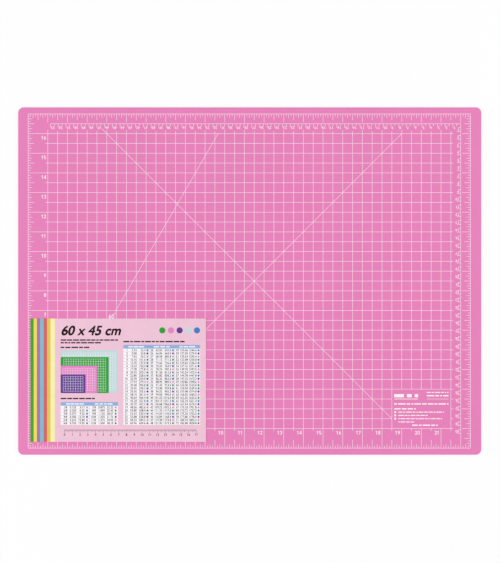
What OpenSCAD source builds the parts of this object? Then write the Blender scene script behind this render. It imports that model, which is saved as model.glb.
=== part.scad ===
// A flat self-healing cutting mat: a five-ply laminate with printed rules on
// both faces, and a loose paper card lying on it.
// Millimetres, +Z up. The origin is the middle of the underside, and +X runs
// along the long side.

/* [Mat] */
// Width of the mat, left to right
mat_w = 598.2; // [420:0.2:900]
// Depth of the mat, front to back
mat_d = 448.8; // [320:0.2:700]
// Radius of the mat's corners
corner_r = 7; // [2:0.5:20]

/* [Plies] */
// Thickness of the printed skin on each face
skin_t = 0.25; // [0.2:0.05:0.5]
// Thickness of the soft healing ply under each skin
healing_t = 0.75; // [0.4:0.05:1.5]
// Thickness of the firm core sheet
core_t = 1; // [0.5:0.1:2]

/* [Print] */
// Thickness of one film of ink
film_t = 0.04; // [0.02:0.01:0.05]
// Width of a printed line
line_w = 0.42; // [0.3:0.02:0.7]
// Least bare margin between the print and the mat's edge
margin = 8; // [6:0.5:12]
// How far the face print sits to the left of the mat's middle
print_shift = 0.5; // [0:0.1:3]
// How far a grid line runs past the last line that it crosses
overrun = 3.1; // [1:0.1:4]
// How far a grid line on a whole inch runs past the back line
long_overrun = 4.7; // [1:0.1:5]
// Length of an eighth-inch tick
eighth_tick = 3.3; // [1.5:0.1:4]
// Length of a quarter-inch tick
quarter_tick = 5.1; // [3:0.1:6]
// Length of a half-inch tick
half_tick = 7.9; // [5:0.1:9]
// Length of a long tick: the inch ticks, and the half inches of the front scale
inch_tick = 10.9; // [8:0.1:11.5]
// Length of a whole tick on the centimetre scales
cm_tick = 4.9; // [3.5:0.1:6]
// Length of a half tick on the centimetre scales
half_cm_tick = 3; // [1.5:0.1:3]
// Bare gap between a number or a mark and the line or tick beside it
number_gap = 0.6; // [0.4:0.1:1]

/* [Numbers] */
// Height of an inch number
inch_number_h = 4.8; // [4:0.1:6]
// Stroke width of an inch number
inch_stroke = 0.7; // [0.4:0.05:1.1]
// How far an inch number lies below its grid line
inch_number_drop = 3; // [1.5:0.1:4]
// How far an inch number ends to the left of its grid line
inch_number_inset = 2.2; // [1.5:0.1:4]
// Height of a centimetre number
cm_number_h = 3.4; // [3:0.1:3.6]
// Stroke width of a centimetre number
cm_stroke = 0.5; // [0.3:0.05:0.8]
// Bare gap between the two digits of a number
digit_gap = 0.55; // [0.2:0.05:0.8]
// Distance from a centimetre number to the middle of the whole tick after it
cm_number_inset = 0.9; // [0.6:0.1:1]
// Distance from a number at the back to the centimetre line there
back_number_foot = 3.4; // [3.3:0.1:4.5]
// Distance from a number at the right to the centimetre line there
right_number_side = 2.1; // [1:0.1:4]

/* [Bias lines and note panel] */
// Half inches from the grid's left edge to the 45 degree lines
bias_start = 6; // [2:1:10]
// How far the falling 45 degree line starts before the grid
bias_overrun = 9; // [2:0.5:10]
// Half inches from the grid's front edge to the middle of the 60 degree mark
mark_60_row = 11.4; // [3.4:1:15.4]
// Half inches from the grid's front edge to the middle of the 45 degree mark
mark_45_row = 4.5; // [2.5:1:8.5]
// Bare gap between an angle mark and the ends of its broken line
mark_gap = 3; // [2:0.5:5]
// Height of an angle mark's digits
mark_h = 5.6; // [4:0.1:6]
// Stroke width of an angle mark's digits
mark_stroke = 0.8; // [0.4:0.05:1]
// How far an angle mark's digits stand to the left of its line
mark_side = 1.3; // [0:0.1:2]
// Width of the note panel, in half inches
note_cols = 6; // [4:1:8]
// Depth of the note panel, in half inches
note_rows = 4; // [3:1:6]
// Bare border inside the note panel
note_border = 3; // [2:0.5:6]
// Height of the note's heading bars
heading_h = 4.2; // [2:0.1:4.5]
// Height of the rule under the heading
heading_rule_h = 0.8; // [0.3:0.1:1.2]
// Height of the bars that stand for a line of bold print
bold_print_h = 1.6; // [1:0.1:2]
// Height of the bars that stand for a line of small print
small_print_h = 1.2; // [0.8:0.1:1.6]

/* [Insert card] */
// Width of the card, left to right
card_w = 226.6; // [100:0.2:250]
// Depth of the card, front to back
card_d = 159.3; // [80:0.1:200]
// Thickness of the card
card_t = 0.35; // [0.2:0.05:0.6]
// Gap from the mat's left edge to the card
card_left = 16; // [5:0.1:60]
// Gap from the mat's front edge to the card
card_front = 16.7; // [5:0.1:60]

/* [Reverse print] */
// Length of a half-centimetre tick on the reverse
reverse_tick = 2.2; // [1:0.1:2.6]
// Centimetres from one number on the reverse to the next
reverse_number_step = 5; // [2:1:10]

/* [Hidden] */
$fn = 64;

pink = "#e885bc";
soft_pink = "#dd7fb2";
core_white = "#f2f0ec";
purple = "#613a8e";
soft_purple = "#593683";
ink_white = "#fbf3f7";
card_pink = "#f0c6dc";

inch = 25.4;
half = inch / 2;
eighth = inch / 8;
cm = 10;

// Heights of the plies' lower faces, from the table up
reverse_healing_z = skin_t;
core_z = reverse_healing_z + healing_t;
face_healing_z = core_z + core_t;
face_skin_z = face_healing_z + healing_t;
face_z = face_skin_z + skin_t;

// Three films of ink lie on each other where lines cross
first_film = 0;
second_film = film_t;
third_film = 2 * film_t;
card_z = face_z + 3 * film_t;

// The face print is a whole number of half inches, as large as the margin lets it be
frame_cols = floor((mat_w - 2 * margin) / half);
frame_rows = floor((mat_d - 2 * margin) / half);
frame_w = frame_cols * half;
frame_d = frame_rows * half;
frame_x = -frame_w / 2 - min(print_shift, (mat_w - frame_w) / 2 - line_w);
frame_y = -frame_d / 2;

// The grid lies an inch inside the outer lines
first_line = 2;
last_col = frame_cols - 2;
last_row = frame_rows - 2;
grid_w = (last_col - first_line) * half;
grid_d = (last_row - first_line) * half;
grid_left = first_line * half;
grid_front = first_line * half;
note_col = last_col - note_cols;
note_row = first_line + note_rows;

// The centimetre lines lie half an inch inside the outer lines, at the back and the right
cm_x = frame_w - half;
cm_y = frame_d - half;
cm_across = floor((cm_x - grid_left) / cm);
cm_down = floor((cm_y - inch_tick) / cm);

// The reverse print is a whole number of centimetres
reverse_cols = floor((mat_w - 2 * margin) / cm);
reverse_lines = floor((mat_d - 2 * margin) / cm);
reverse_w = reverse_cols * cm;
reverse_d = reverse_lines * cm;
panel_edge = 2 * line_w;

// Bias lines
bias_45_rise = min(grid_d, grid_w - bias_start * half);
bias_60_rise = min(grid_d, grid_w * tan(60));
mark_clear = mark_h / 2 + mark_gap;

// Note panel: rows that it is set out in, and the shares of its width that its parts take
note_lines = 12;
heading_share = 0.44;
title_share = 0.4;
caption_share = 0.4;
last_line_share = 0.29;
foot_shares = [0.33, 0.8];
dot_lines = [0.91, 0.59, 0.87];
dot_d = 2.2 * small_print_h;

// Letters in each word of a line, and the widths of a letter and of a gap as shares of its height
word_letters = [6, 3, 8, 4, 2, 7, 5];
letter_w = 0.75;
word_gap = 0.9;

// Width of one digit, and of a number of one or two digits
function digit_w(h, s) = (h + s) / 2;
function number_w(n, h, s) = (n > 9 ? 2 * digit_w(h, s) + digit_gap : digit_w(h, s));

// The plies
module mat_outline() {
    square([mat_w - 2 * corner_r, mat_d], center = true);
    square([mat_w, mat_d - 2 * corner_r], center = true);
    for (x = [-1, 1], y = [-1, 1])
        translate([x * (mat_w / 2 - corner_r), y * (mat_d / 2 - corner_r)])
            circle(corner_r);
}

module ply(z, t) {
    translate([0, 0, z])
        linear_extrude(t) mat_outline();
}

module face_skin() {
    color(pink) ply(face_skin_z, skin_t);
}

module face_healing_ply() {
    color(soft_pink) ply(face_healing_z, healing_t);
}

module core_sheet() {
    color(core_white) ply(core_z, core_t);
}

module reverse_healing_ply() {
    color(soft_purple) ply(reverse_healing_z, healing_t);
}

// The printed panel is pressed in by two films, so that its ink is level with the bare rim
module reverse_skin() {
    panel = [reverse_w + 2 * panel_edge, reverse_d + 2 * panel_edge, 4 * film_t];
    color(purple)
        difference() {
            ply(0, skin_t);
            cube(panel, center = true);
        }
}

// Places a film on the face: its origin is the front left corner of the outer lines
module on_face(film) {
    translate([frame_x, frame_y, face_z + film]) children();
}

// Places a film on the reverse, read from below: its origin is a corner of the outer lines there
module on_reverse(film) {
    rotate([180, 0, 0])
        translate([-reverse_w / 2, -reverse_d / 2, -2 * film_t + film]) children();
}

// A printed line along X or Y, from a to b, in the middle of its place
module line_x(a, b, y) {
    translate([a, y - line_w / 2, 0]) cube([b - a, line_w, film_t]);
}

module line_y(a, b, x) {
    translate([x - line_w / 2, a, 0]) cube([line_w, b - a, film_t]);
}

// Outline of a scale: a base line along +X from a to b with ticks up from it
function scale_outline(a, b, ticks) = concat(
    [[a, -line_w / 2], [b, -line_w / 2], [b, line_w / 2]],
    [for (i = [len(ticks) - 1 : -1 : 0], p = tick_outline(ticks[i])) p],
    [[a, line_w / 2]]
);

function tick_outline(tick) = let (r = line_w / 2, x = tick[0], l = tick[1])
    [[x + r, r], [x + r, l], [x - r, l], [x - r, r]];

function inch_tick_length(i, half_length) =
    i % 8 == 0 ? inch_tick : i % 4 == 0 ? half_length : i % 2 == 0 ? quarter_tick : eighth_tick;

// Ticks of an inch scale of n half inches, as [place, length], with or without those on whole inches
function inch_ticks(n, half_length, whole) =
    [for (i = [1 : 4 * n - 1]) if (whole || i % 8 != 0) [i * eighth, inch_tick_length(i, half_length)]];

module scale_film(a, b, ticks) {
    linear_extrude(film_t) polygon(scale_outline(a, b, ticks));
}

// Turns a scale to run up the left side, with its ticks to the right
module up_left() {
    rotate(90) mirror([0, 1]) children();
}

// Turns a scale to run up the right side of a print of width w, with its ticks to the left
module up_right(w) {
    translate([w, 0]) rotate(90) children();
}

// Turns a scale to run along the back of a print of depth d, with its ticks to the front
module along_back(d) {
    translate([0, d]) mirror([0, 1]) children();
}

// The scales along the front and the back take the corners, and the other two end at them
module long_inch_scale(half_length, whole) {
    scale_film(-line_w / 2, frame_w + line_w / 2, inch_ticks(frame_cols, half_length, whole));
}

module short_inch_scale(whole) {
    scale_film(line_w / 2, frame_d - line_w / 2, inch_ticks(frame_rows, half_tick, whole));
}

module front_inch_scale() {
    color(ink_white) on_face(first_film) long_inch_scale(inch_tick, false);
}

module back_inch_scale() {
    color(ink_white) on_face(first_film) along_back(frame_d) long_inch_scale(half_tick, true);
}

module left_inch_scale() {
    color(ink_white) on_face(first_film) up_left() short_inch_scale(false);
}

module right_inch_scale() {
    color(ink_white) on_face(first_film) up_right(frame_w) short_inch_scale(true);
}

// Lines of the grid, with those on whole inches running out to the outer line
function line_start(i) = i % 2 == 0 ? line_w / 2 : first_line * half - overrun;

function column_end(i) = last_row * half + (i % 2 == 0 ? long_overrun : overrun);

module grid_columns() {
    color(ink_white) on_face(first_film)
        for (i = [first_line : last_col])
            if (i > note_col && i < last_col) {
                line_y(line_start(i), grid_front, i * half);
                line_y(note_row * half, column_end(i), i * half);
            } else
                line_y(line_start(i), column_end(i), i * half);
}

module grid_rows() {
    right_end = last_col * half + overrun;
    color(ink_white) on_face(second_film)
        for (i = [first_line : last_row])
            if (i > first_line && i < note_row) {
                line_x(line_start(i), note_col * half, i * half);
                line_x(last_col * half, right_end, i * half);
            } else
                line_x(line_start(i), right_end, i * half);
}

// Digits are bars and arcs of one stroke width s, in a box digit_w(h, s) wide and h high
module bar(p, q, s) {
    run = q - p;
    translate(p) rotate(atan2(run[1], run[0]))
        translate([0, -s / 2]) cube([norm(run), s, film_t]);
}

module arc(c, r, s, from, sweep) {
    translate(c) rotate(from)
        rotate_extrude(angle = sweep) translate([r - s / 2, 0]) square([s, film_t]);
}

module ring(c, r, s) {
    translate(c) difference() {
        cylinder(h = film_t, r = r + s / 2);
        translate([0, 0, -film_t]) cylinder(h = 3 * film_t, r = r - s / 2);
    }
}

module flat(points) {
    linear_extrude(film_t) polygon(points);
}

module digit(v, h, s) {
    r = (h - s) / 4;
    w = digit_w(h, s);
    mid = w / 2;
    low = [mid, s / 2 + r];
    high = [mid, h - s / 2 - r];
    if (v == 0) {
        arc(low, r, s, 180, 180);
        arc(high, r, s, 0, 180);
        bar([s / 2, low[1]], [s / 2, high[1]], s);
        bar([w - s / 2, low[1]], [w - s / 2, high[1]], s);
    }
    if (v == 1) {
        bar([mid, 0], [mid, h], s);
        flat([[mid, h], [mid - 1.5 * r, h - 1.3 * r], [mid - 1.5 * r, h - 1.3 * r - s], [mid, h - s]]);
    }
    if (v == 2) {
        arc(high, r, s, -36, 206);
        bar(high + r * [cos(36), -sin(36)], [0.8 * s, s / 2], s);
        bar([0, s / 2], [w, s / 2], s);
    }
    if (v == 3) {
        arc(low, r, s, -160, 250);
        arc(high, r, s, -90, 250);
    }
    if (v == 4) {
        bar([w - s, 0], [w - s, h], s);
        bar([0, r + s / 2], [w, r + s / 2], s);
        flat([[w - 1.5 * s, h], [0, r + s], [s, r + s], [w - 1.5 * s, h - 1.4 * s]]);
    }
    if (v == 5) {
        arc(low, r, s, -150, 285);
        bar([s / 2, low[1] + 0.6 * r], [s / 2, h], s);
        bar([0, h - s / 2], [w - s / 3, h - s / 2], s);
    }
    if (v == 6) {
        // The tail is an arc that leaves the ring's left side and ends at the top
        turn = 2 * atan(1.7 / 3);
        tail_r = 3 * r / sin(turn);
        ring(low, r, s);
        arc(low + [tail_r - r, 0], tail_r, s, 180 - turn, turn);
    }
    if (v == 7) {
        bar([0, h - s / 2], [w, h - s / 2], s);
        flat([[w, h - s], [w - 1.2 * s, h - s], [w / 3 - 0.6 * s, 0], [w / 3 + 0.5 * s, 0]]);
    }
    if (v == 8) {
        ring(low, r, s);
        ring(high, r, s);
    }
    if (v == 9)
        translate([w, h]) rotate(180) digit(6, h, s);
}

// A number that ends at the origin, with its foot on the X axis
module number(n, h, s) {
    w = digit_w(h, s);
    translate([-w, 0]) digit(n % 10, h, s);
    if (n > 9)
        translate([-2 * w - digit_gap, 0]) digit(floor(n / 10), h, s);
}

module inch_numbers() {
    foot = grid_front - inch_number_drop - inch_number_h;
    color(ink_white) on_face(first_film) {
        for (i = [1 : floor(last_col / 2)])
            translate([i * inch - inch_number_inset, foot])
                number(i, inch_number_h, inch_stroke);
        for (i = [2 : floor(last_row / 2)])
            translate([grid_left - inch_number_inset, i * inch - inch_number_drop - inch_number_h])
                number(i, inch_number_h, inch_stroke);
    }
}

// The centimetre scales run from the back right corner, and read from the back
module from_cm_corner() {
    on_face(first_film) translate([cm_x, cm_y]) rotate(180) children();
}

// Ticks of a centimetre scale of n centimetres, as [place, length]
function cm_ticks(n) = [for (i = [1 : 2 * n]) [i * cm / 2, i % 2 == 0 ? cm_tick : half_cm_tick]];

module back_cm_scale() {
    color(ink_white) from_cm_corner()
        scale_film(line_w / 2, cm_across * cm + line_w / 2, cm_ticks(cm_across));
}

module right_cm_scale() {
    color(ink_white) from_cm_corner() up_left()
        scale_film(-line_w / 2, cm_y - line_w / 2, cm_ticks(cm_down));
}

module back_cm_numbers() {
    color(ink_white) from_cm_corner()
        for (i = [1 : cm_across])
            translate([i * cm - cm_number_inset, back_number_foot])
                number(i, cm_number_h, cm_stroke);
}

module right_cm_numbers() {
    color(ink_white) from_cm_corner()
        for (i = [1 : cm_down])
            translate([
                right_number_side + number_w(i, cm_number_h, cm_stroke),
                i * cm - cm_number_inset - cm_number_h
            ])
                number(i, cm_number_h, cm_stroke);
}

// A line from the origin at an angle, that rises by a height, with a gap about a middle height
module bias_line(angle, rise, gap_at) {
    near = (gap_at - mark_clear) / sin(angle);
    far = (gap_at + mark_clear) / sin(angle);
    rotate(angle) translate([0, -line_w / 2]) {
        cube([near, line_w, film_t]);
        translate([far, 0]) cube([rise / sin(angle) - far, line_w, film_t]);
    }
}

module bias_lines() {
    note = [note_cols * half, note_rows * half, 3 * film_t];
    color(ink_white) on_face(third_film) difference() {
        translate([grid_left, grid_front]) {
            bias_line(60, bias_60_rise, mark_60_row * half);
            translate([bias_start * half, 0])
                bias_line(45, bias_45_rise, mark_45_row * half);
            translate([bias_start * half, bias_45_rise]) rotate(-45)
                translate([-bias_overrun, -line_w / 2])
                    cube([bias_45_rise / sin(45) + bias_overrun, line_w, film_t]);
        }
        translate([note_col * half, grid_front, -film_t]) cube(note);
    }
}

// An angle in degrees, about the origin, with its degree ring a little above its digits
module angle_mark(n) {
    ring_r = mark_h / 7;
    width = number_w(n, mark_h, mark_stroke);
    translate([-mark_side, 0]) {
        translate([width / 2, -mark_h / 2]) number(n, mark_h, mark_stroke);
        translate([width / 2 + number_gap / 2 + ring_r, 0.68 * mark_h])
            ring([0, 0], ring_r, line_w);
    }
}

module angle_marks() {
    color(ink_white) on_face(third_film) translate([grid_left, grid_front]) {
        translate([mark_60_row * half / tan(60), mark_60_row * half]) angle_mark(60);
        translate([(bias_start + mark_45_row) * half, mark_45_row * half]) angle_mark(45);
    }
}

// Bars that stand for the words of a line from x to end, as [start, length]: i is the first word
function words(x, end, h, i) = end - x < h ? [] :
    let (w = min(word_letters[i % len(word_letters)] * letter_w * h, end - x))
    concat([[x, w]], words(x + w + word_gap * h, end, h, i + 1));

module print_line(x, end, y, h, i) {
    for (w = words(x, end, h, i))
        translate([w[0], y - h / 2, 0]) cube([w[1], h, film_t]);
}

// A heading, a title beside it, lines of plain bars and three lines with a round dot before them
module note_print() {
    left = note_col * half + note_border;
    right = last_col * half - note_border;
    span = right - left;
    row = note_rows * half / note_lines;
    top = note_row * half;
    indent = left + 2 * dot_d;
    heading_end = left + span * heading_share;
    title_start = right - span * title_share;
    color(ink_white) on_face(first_film) {
        print_line(left, heading_end, top - 2 * row, heading_h, 3);
        translate([left, top - 3 * row - heading_rule_h / 2, 0])
            cube([heading_end - left, heading_rule_h, film_t]);
        print_line(title_start, right, top - row, small_print_h, 0);
        print_line(title_start, right, top - 2 * row, bold_print_h, 2);
        line_x(title_start, right, top - 3 * row);
        print_line(left, right, top - 4.5 * row, bold_print_h, 1);
        print_line(left, left + caption_share * span, top - 6 * row, bold_print_h, 5);
        for (i = [0 : len(dot_lines) - 1]) {
            y = top - (7 + i) * row;
            translate([left + dot_d / 2, y]) cylinder(h = film_t, d = dot_d);
            print_line(indent, indent + (right - indent) * dot_lines[i], y, small_print_h, 2 * i);
        }
        print_line(indent, indent + last_line_share * span, top - 10 * row, small_print_h, 4);
        print_line(
            left + foot_shares[0] * span, left + foot_shares[1] * span,
            top - 11 * row, bold_print_h, 0
        );
    }
}

// Ticks on the half centimetres of a scale of n centimetres, as [place, length]
function reverse_ticks(n) = [for (i = [1 : n]) [(i - 0.5) * cm, reverse_tick]];

module reverse_long_scale() {
    scale_film(-line_w / 2, reverse_w + line_w / 2, reverse_ticks(reverse_cols));
}

module reverse_short_scale() {
    scale_film(line_w / 2, reverse_d - line_w / 2, reverse_ticks(reverse_lines));
}

module reverse_long_scales() {
    color(ink_white) on_reverse(first_film) {
        reverse_long_scale();
        along_back(reverse_d) reverse_long_scale();
    }
}

module reverse_short_scales() {
    color(ink_white) on_reverse(first_film) {
        up_left() reverse_short_scale();
        up_right(reverse_w) reverse_short_scale();
    }
}

module reverse_columns() {
    color(ink_white) on_reverse(first_film)
        for (i = [1 : reverse_cols - 1])
            line_y(cm, reverse_d - line_w / 2, i * cm);
}

module reverse_rows() {
    color(ink_white) on_reverse(second_film)
        for (i = [1 : reverse_lines - 1])
            line_x(cm, reverse_w - line_w / 2, i * cm);
}

module reverse_numbers() {
    color(ink_white) on_reverse(first_film) {
        for (i = [reverse_number_step : reverse_number_step : reverse_cols - 1])
            translate([i * cm + number_w(i, cm_number_h, cm_stroke) / 2, cm - number_gap - cm_number_h])
                number(i, cm_number_h, cm_stroke);
        for (i = [reverse_number_step : reverse_number_step : reverse_lines - 1])
            translate([cm - number_gap, i * cm - cm_number_h / 2])
                number(i, cm_number_h, cm_stroke);
    }
}

module insert_card() {
    color(card_pink)
        translate([card_left - mat_w / 2, card_front - mat_d / 2, card_z])
            cube([card_w, card_d, card_t]);
}

face_skin();
face_healing_ply();
core_sheet();
reverse_healing_ply();
reverse_skin();
front_inch_scale();
back_inch_scale();
left_inch_scale();
right_inch_scale();
inch_numbers();
grid_columns();
grid_rows();
bias_lines();
angle_marks();
note_print();
back_cm_scale();
right_cm_scale();
back_cm_numbers();
right_cm_numbers();
reverse_long_scales();
reverse_short_scales();
reverse_numbers();
reverse_columns();
reverse_rows();
insert_card();
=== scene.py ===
"""A self-healing cutting mat with a loose printed card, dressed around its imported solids."""

import logging
import math
from dataclasses import dataclass
from enum import Enum
from functools import cache
from typing import Any, Callable, Mapping, Optional, Sequence, TypeVar, Union

import bmesh
import bpy
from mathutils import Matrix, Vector


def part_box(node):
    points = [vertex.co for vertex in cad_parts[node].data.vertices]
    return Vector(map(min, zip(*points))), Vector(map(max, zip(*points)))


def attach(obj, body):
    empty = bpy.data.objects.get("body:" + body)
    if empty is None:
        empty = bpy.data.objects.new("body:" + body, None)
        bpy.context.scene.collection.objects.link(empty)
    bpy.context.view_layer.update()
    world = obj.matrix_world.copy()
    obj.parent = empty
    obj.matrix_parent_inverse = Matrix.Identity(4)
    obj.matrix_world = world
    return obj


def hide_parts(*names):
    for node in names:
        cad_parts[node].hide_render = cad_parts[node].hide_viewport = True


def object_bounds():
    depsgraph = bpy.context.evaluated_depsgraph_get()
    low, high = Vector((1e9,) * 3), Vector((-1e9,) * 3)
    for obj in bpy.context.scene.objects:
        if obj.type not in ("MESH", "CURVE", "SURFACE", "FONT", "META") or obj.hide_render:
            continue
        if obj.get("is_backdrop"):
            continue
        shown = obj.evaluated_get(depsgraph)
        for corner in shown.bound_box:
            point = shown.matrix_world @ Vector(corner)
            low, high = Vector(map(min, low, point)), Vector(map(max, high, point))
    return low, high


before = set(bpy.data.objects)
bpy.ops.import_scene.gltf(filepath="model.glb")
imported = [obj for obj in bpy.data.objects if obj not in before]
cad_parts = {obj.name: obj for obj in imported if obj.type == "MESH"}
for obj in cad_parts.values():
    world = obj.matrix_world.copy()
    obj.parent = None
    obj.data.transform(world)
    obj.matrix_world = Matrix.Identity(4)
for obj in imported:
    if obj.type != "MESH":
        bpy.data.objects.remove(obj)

CAD_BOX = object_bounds()
LOG = logging.getLogger("cutting_mat")
MM = 0.001
CM = 10 * MM
INCH = 25.4 * MM
EIGHTHS = 8
WELD = 0.001 * MM
SRGB_KNEE, SRGB_SLOPE, SRGB_OFFSET, SRGB_POWER = 0.04045, 12.92, 0.055, 2.4

# Half a film of ink on the card, and the middles of three films above its paper, all in films
HALF_FILM = 0.5
FIRST_FILM, SECOND_FILM, THIRD_FILM = HALF_FILM, 1 + HALF_FILM, 2 + HALF_FILM

Key = Union[str, int]
Colour = tuple[float, float, float, float]
Stretch = tuple[float, float, float]
Range = tuple[float, float]


class Wire:
    """What a node's socket gives out, with arithmetic that adds Math nodes to its graph."""

    def __init__(self, graph: "Graph", socket: bpy.types.NodeSocket) -> None:
        """Keeps the graph and the socket."""
        self.graph = graph
        self.socket = socket

    def out(self, key: Key) -> "Wire":
        """Returns another output of the same node."""
        return Wire(self.graph, self.graph.find(self.socket.node.outputs, key))

    def _math(self, operation: str, first: "Number", second: "Number") -> "Wire":
        """Returns the result of a Math node on two numbers."""
        return self.graph.add("ShaderNodeMath", {"operation": operation}, {0: first, 1: second})

    def __add__(self, other: "Number") -> "Wire":
        """Returns the sum."""
        return self._math("ADD", self, other)

    def __radd__(self, other: "Number") -> "Wire":
        """Returns the sum, with this wire second."""
        return self._math("ADD", other, self)

    def __sub__(self, other: "Number") -> "Wire":
        """Returns the difference."""
        return self._math("SUBTRACT", self, other)

    def __rsub__(self, other: "Number") -> "Wire":
        """Returns the difference, with this wire second."""
        return self._math("SUBTRACT", other, self)

    def __mul__(self, other: "Number") -> "Wire":
        """Returns the product."""
        return self._math("MULTIPLY", self, other)

    def __rmul__(self, other: "Number") -> "Wire":
        """Returns the product, with this wire second."""
        return self._math("MULTIPLY", other, self)

    def __truediv__(self, other: "Number") -> "Wire":
        """Returns the quotient."""
        return self._math("DIVIDE", self, other)

    def __rtruediv__(self, other: "Number") -> "Wire":
        """Returns the quotient, with this wire as the divisor."""
        return self._math("DIVIDE", other, self)

    def __pow__(self, other: "Number") -> "Wire":
        """Returns the power."""
        return self._math("POWER", self, other)

    def __rpow__(self, other: "Number") -> "Wire":
        """Returns the power, with this wire as the exponent."""
        return self._math("POWER", other, self)


Number = Union[float, Wire]
Length = TypeVar("Length", float, Wire)


def blended(first: Wire, second: Wire, share: float) -> Wire:
    """Returns two values as one, of which the second one makes up a share."""
    return first * (1 - share) + second * share


class Graph:
    """A node tree, and the one way in which nodes are added to it."""

    def __init__(self, tree: bpy.types.NodeTree) -> None:
        """Keeps the tree."""
        self.tree = tree

    @staticmethod
    def find(sockets: Sequence[bpy.types.NodeSocket], key: Key) -> bpy.types.NodeSocket:
        """Finds one of a node's sockets.

        Args:
            sockets: The node's inputs or outputs.
            key: The socket's place, its identifier or its name.

        Returns:
            The socket.
        """
        if isinstance(key, int):
            return sockets[key]
        named = [s for s in sockets if s.identifier == key] or [s for s in sockets if s.name == key]
        return named[0]

    def add(
        self, kind: str, settings: Optional[Mapping[str, Any]] = None,
        sockets: Optional[Mapping[Key, Any]] = None, output: Key = 0,
    ) -> Wire:
        """Adds a node.

        Args:
            kind: The node's type.
            settings: Its own settings, such as an operation, which are set first.
            sockets: The value, wire or list of wires of each of its inputs.
            output: The output that is wanted.

        Returns:
            That output's wire.
        """
        node = self.tree.nodes.new(kind)
        for name, value in (settings or {}).items():
            setattr(node, name, value)
        for key, value in (sockets or {}).items():
            socket = self.find(node.inputs, key)
            for wire in value if isinstance(value, list) else [value]:
                if isinstance(wire, Wire):
                    self.tree.links.new(wire.socket, socket)
                else:
                    socket.default_value = wire
        return Wire(self, self.find(node.outputs, output) if node.outputs else None)


class Tint(Enum):
    """The object's colours, as sRGB hexadecimals."""

    MAT_PINK = "e77fba"
    PLY_PINK = "d9709f"
    CORE_WHITE = "f0ede6"
    MAT_PURPLE = "613a8e"
    PLY_PURPLE = "52307a"
    INK_WHITE = "fdf7fa"
    CARD_PINK = "f0c4d8"
    CARD_BACK = "f1efe9"
    LEAF = "389c06"
    LEMON = "eed957"
    MAUVE = "a76ca4"
    SKY = "7db8cf"
    CORAL = "d55e5c"
    GOLD = "e1c353"
    CREAM = "f8f1ac"
    HEADER_BLUE = "8fafdd"
    ROW_WHITE = "fcfafc"
    RULE_GREY = "b8a3ba"
    BLACK = "22100f"
    GRASS = "0f9a22"
    ROSE = "e583c5"
    VIOLET = "582a8c"
    AQUA = "c2dadc"
    AZURE = "2d7cc4"

    def linear(self, strength: float = 1.0) -> Colour:
        """Converts the tint to linear light.

        Args:
            strength: How bright it comes out, where 1 leaves it as it is.

        Returns:
            Red, green, blue and alpha.
        """
        red, green, blue = (
            part / SRGB_SLOPE if part <= SRGB_KNEE
            else ((part + SRGB_OFFSET) / (1 + SRGB_OFFSET)) ** SRGB_POWER
            for part in (byte / 255 for byte in bytes.fromhex(self.value))
        )
        return (red * strength, green * strength, blue * strength, 1.0)


class SurfaceGraph(Graph):
    """The node tree of a material, read on the piece's own coordinates."""

    noise_detail = 3.0
    pebble_smoothness = 0.6
    relief_strength = 0.6

    def __init__(self, name: str) -> None:
        """Makes an empty material.

        Args:
            name: The material's name.
        """
        self.material = bpy.data.materials.new(name)
        self.material.use_nodes = True
        super().__init__(self.material.node_tree)
        self.tree.nodes.clear()

    def place(self, stretch: Optional[Stretch] = None) -> Wire:
        """Gives the point on the piece.

        Args:
            stretch: The factors that the point is scaled by along X, Y and Z.

        Returns:
            The point's wire.
        """
        point = self.add("ShaderNodeTexCoord", output="Object")
        if stretch is None:
            return point
        return self.add("ShaderNodeMapping", sockets={"Vector": point, "Scale": stretch})

    def noise(self, grain: float, stretch: Optional[Stretch] = None) -> Wire:
        """Adds soft noise with patches of a size, and returns its value about 0.5, from 0 to 1."""
        sockets = {"Vector": self.place(stretch), "Scale": 1 / grain, "Detail": self.noise_detail}
        return self.add("ShaderNodeTexNoise", sockets=sockets, output="Fac")

    def pebbles(self, grain: float) -> Wire:
        """Adds rounded cells of a size, and returns how far a point is from its cell's middle."""
        sockets = {"Vector": self.place(), "Scale": 1 / grain, "Smoothness": self.pebble_smoothness}
        return self.add("ShaderNodeTexVoronoi", {"feature": "SMOOTH_F1"}, sockets, "Distance")

    def mask(self, value: Wire, rise: Range) -> Wire:
        """Turns a value into a mask from 0 to 1, which rises smoothly over a range."""
        sockets = {"Value": value, "From Min": rise[0], "From Max": rise[1]}
        return self.add("ShaderNodeMapRange", {"interpolation_type": "SMOOTHSTEP"}, sockets)

    def blend(self, share: Number, first: Colour, second: Colour) -> Wire:
        """Returns two colours as one, of which the second one makes up a share."""
        sockets = {"Factor_Float": share, "A_Color": first, "B_Color": second}
        return self.add("ShaderNodeMix", {"data_type": "RGBA"}, sockets, "Result_Color")

    def relief(self, height: Wire, depth: float) -> Wire:
        """Returns the bumped normal of a height from 0 to 1, where 1 stands for a depth."""
        sockets = {"Strength": self.relief_strength, "Distance": depth, "Height": height}
        return self.add("ShaderNodeBump", sockets=sockets)


Layers = tuple[Wire, Wire, Wire]


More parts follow.
